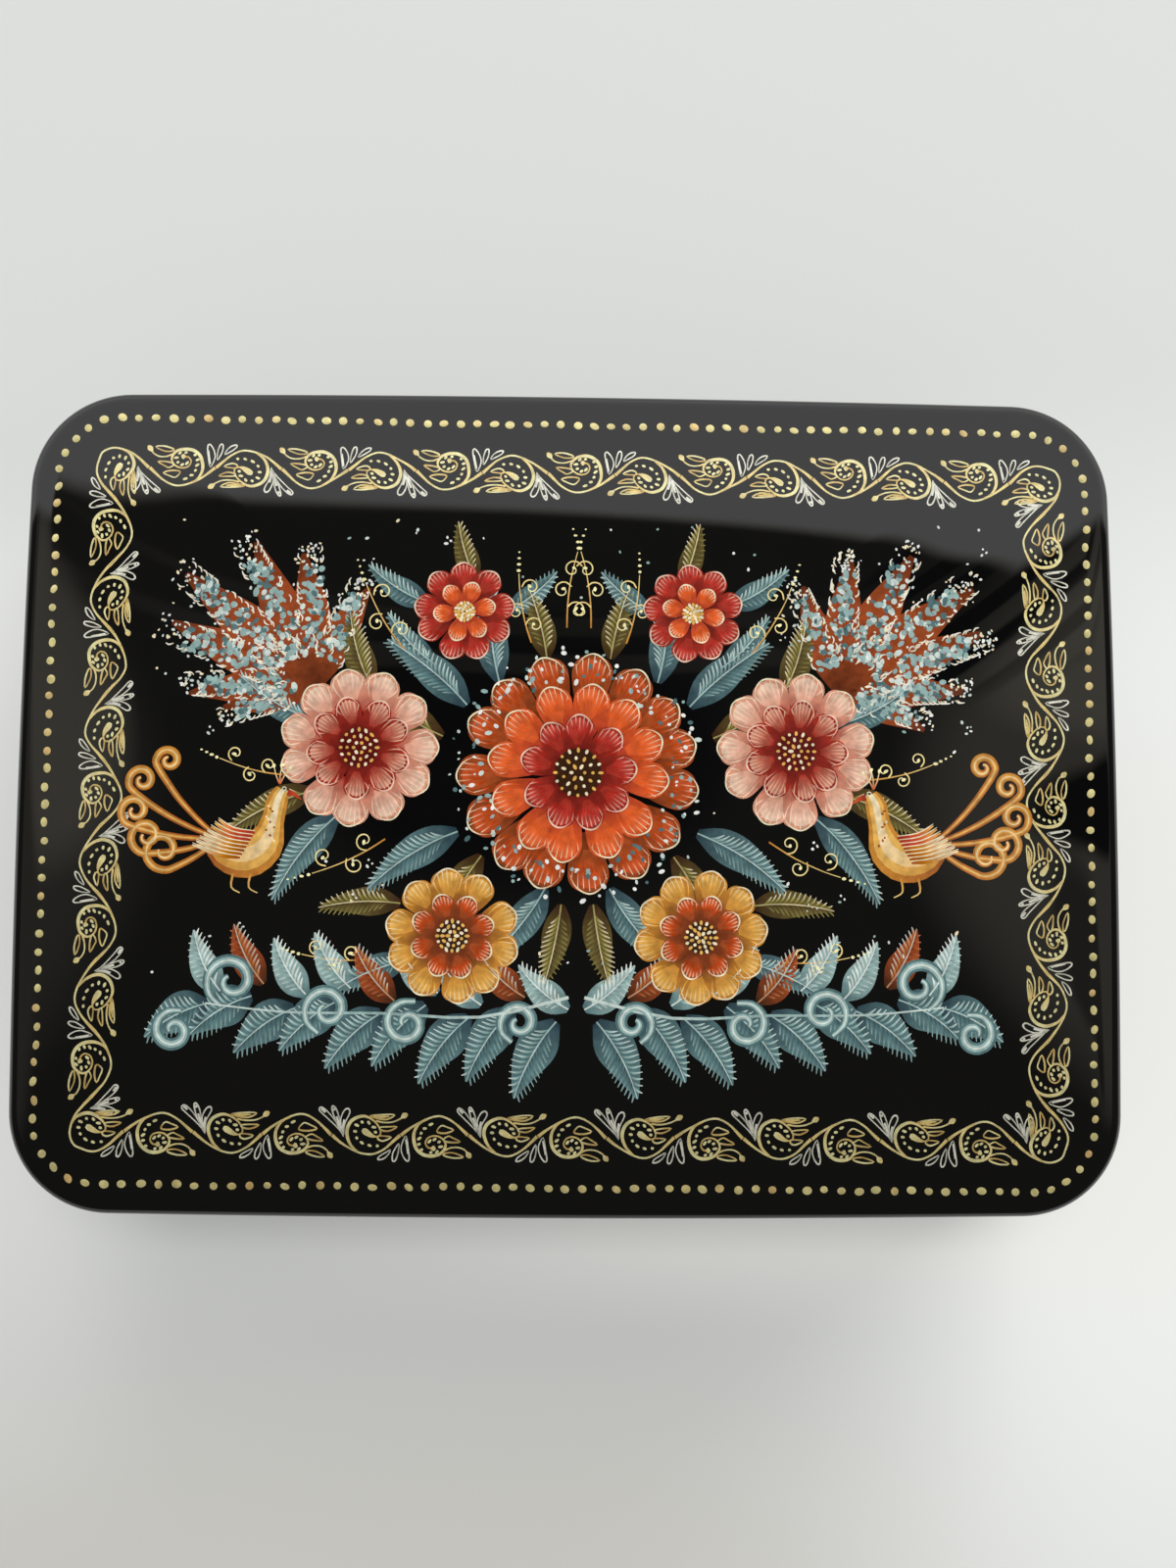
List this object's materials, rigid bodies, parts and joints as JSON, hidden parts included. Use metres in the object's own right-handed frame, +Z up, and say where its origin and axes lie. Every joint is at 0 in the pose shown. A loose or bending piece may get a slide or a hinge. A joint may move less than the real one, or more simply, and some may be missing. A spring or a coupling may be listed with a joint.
{
  "type": "lacquer box",
  "caption": "Rounded rectangular papier-mache lacquer box with a crowned painted lid on a long brass hinge and a raised inner lip.",
  "frame": {"origin": "centre of the flat base, on the surface that the box stands on", "axes": "+X along the box's length, +Y towards the hinge at the back, +Z up"},
  "size_m": [0.14, 0.1056, 0.0453],
  "materials": {
    "black_lacquer": "glossy black lacquer",
    "red_lacquer": "glossy red lacquer",
    "brass": "satin brass"
  },
  "bodies": {
    "box": {"body_wall": "black_lacquer", "bottom_panel": "black_lacquer", "body_liner": "red_lacquer", "hinge_leaf_body": "brass", "leaf_pins_body": "brass", "hinge_pin": "brass"},
    "lid": {"lid_wall": "black_lacquer", "lid_panel": "black_lacquer", "hinge_leaf_lid": "brass", "leaf_pins_lid": "brass"}
  },
  "joints": [
    {"name": "lid_hinge", "type": "hinge", "parent": "box", "child": "lid", "pos_m": [0, 0.052, 0.02908], "axis": [-1, 0, 0], "range_deg": [0, 100]}
  ]
}
